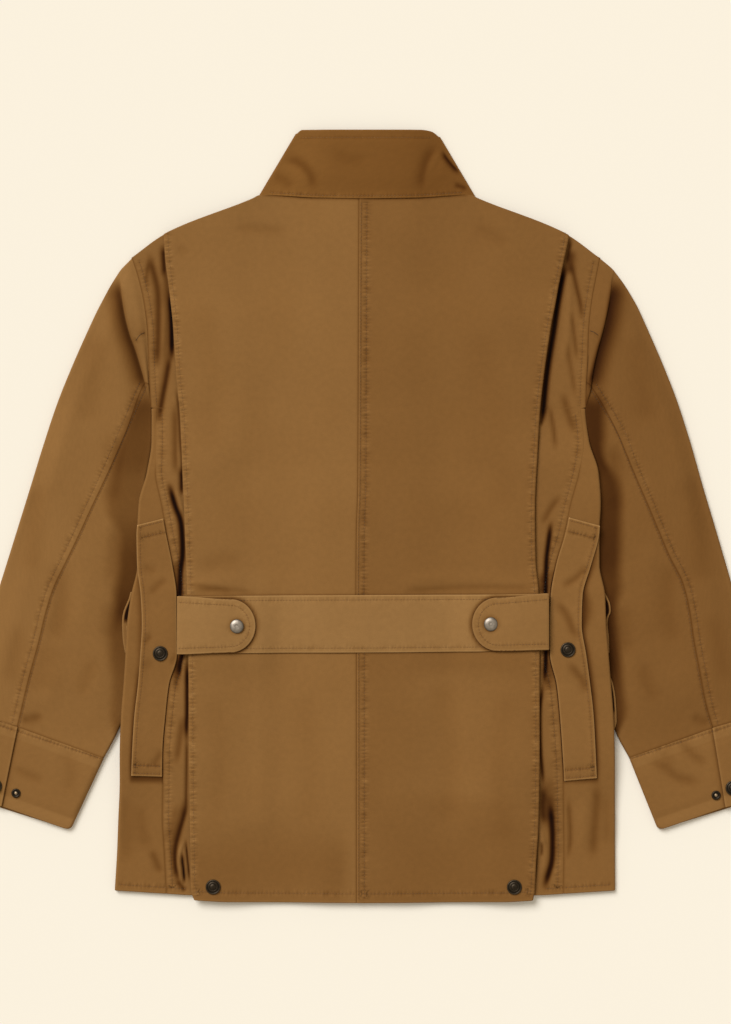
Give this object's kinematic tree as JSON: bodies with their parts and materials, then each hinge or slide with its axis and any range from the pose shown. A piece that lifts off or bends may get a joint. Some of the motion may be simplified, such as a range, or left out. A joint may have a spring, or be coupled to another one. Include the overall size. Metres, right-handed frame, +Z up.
{
  "type": "field jacket",
  "caption": "Cotton-twill field jacket laid flat, back up: stand collar, pleated back, half-belt with snap tabs, set-in sleeves with snap cuffs, side welts.",
  "frame": {"origin": "middle of the laid-out jacket's outline, on the surface it lies on", "axes": "+Z up through the jacket's back, +Y towards the collar, +X towards the sleeve on the right as seen from above"},
  "size_m": [0.9097, 0.8499, 0.0276],
  "materials": {
    "body_twill": "matte",
    "collar_twill": "matte",
    "belt_twill": "matte",
    "snap_gunmetal": "satin",
    "snap_silver": "satin"
  },
  "bodies": {
    "root": {"back_left": "body_twill", "side_back_left": "body_twill", "front_left": "body_twill", "pocket_left": "body_twill", "pocket_flap_left": "body_twill", "sleeve_upper_left": "body_twill", "sleeve_under_left": "body_twill", "cuff_left": "body_twill", "welt_left": "body_twill", "belt_tab_left": "belt_twill", "snap_welt_left": "snap_gunmetal", "snap_hem_left": "snap_gunmetal", "snap_cuff_left": "snap_gunmetal", "stud_cuff_left": "snap_gunmetal", "snap_tab_left": "snap_silver", "back_right": "body_twill", "side_back_right": "body_twill", "front_right": "body_twill", "pocket_right": "body_twill", "pocket_flap_right": "body_twill", "sleeve_upper_right": "body_twill", "sleeve_under_right": "body_twill", "cuff_right": "body_twill", "welt_right": "body_twill", "belt_tab_right": "belt_twill", "snap_welt_right": "snap_gunmetal", "snap_hem_right": "snap_gunmetal", "snap_cuff_right": "snap_gunmetal", "stud_cuff_right": "snap_gunmetal", "snap_tab_right": "snap_silver", "front_placket": "body_twill", "belt": "belt_twill", "collar": "collar_twill"}
  },
  "joints": []
}
